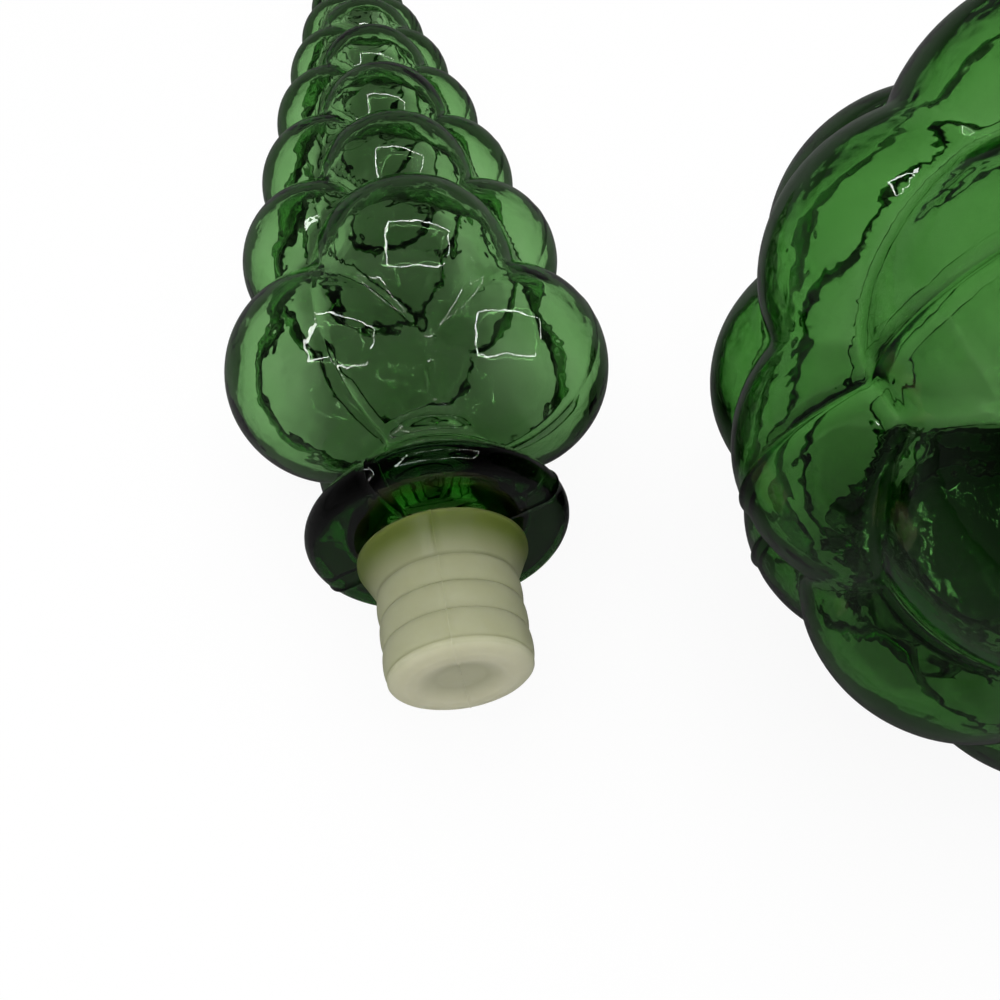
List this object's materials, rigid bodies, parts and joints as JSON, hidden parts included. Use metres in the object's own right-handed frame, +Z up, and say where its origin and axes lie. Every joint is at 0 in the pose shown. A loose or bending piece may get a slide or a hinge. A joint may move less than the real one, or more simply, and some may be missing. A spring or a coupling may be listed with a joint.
{
  "type": "genie bottle",
  "caption": "Tall hollow green glass bottle blown as a cluster of bubbles, with its bubbled glass stopper and plastic bung lying beside it.",
  "frame": {"origin": "centre of the bottle's foot, on the surface that it stands on", "axes": "+Z up along the bottle's neck; the stopper lies on the -X side with its tip towards +Y"},
  "size_m": [0.2436, 0.3032, 0.262],
  "materials": {
    "green_glass": "glossy blown glass",
    "ivory_plastic": "satin moulded polyethylene"
  },
  "bodies": {
    "root": {"glass_bottle": "green_glass", "glass_stopper": "green_glass", "plastic_bung": "ivory_plastic"}
  },
  "joints": []
}
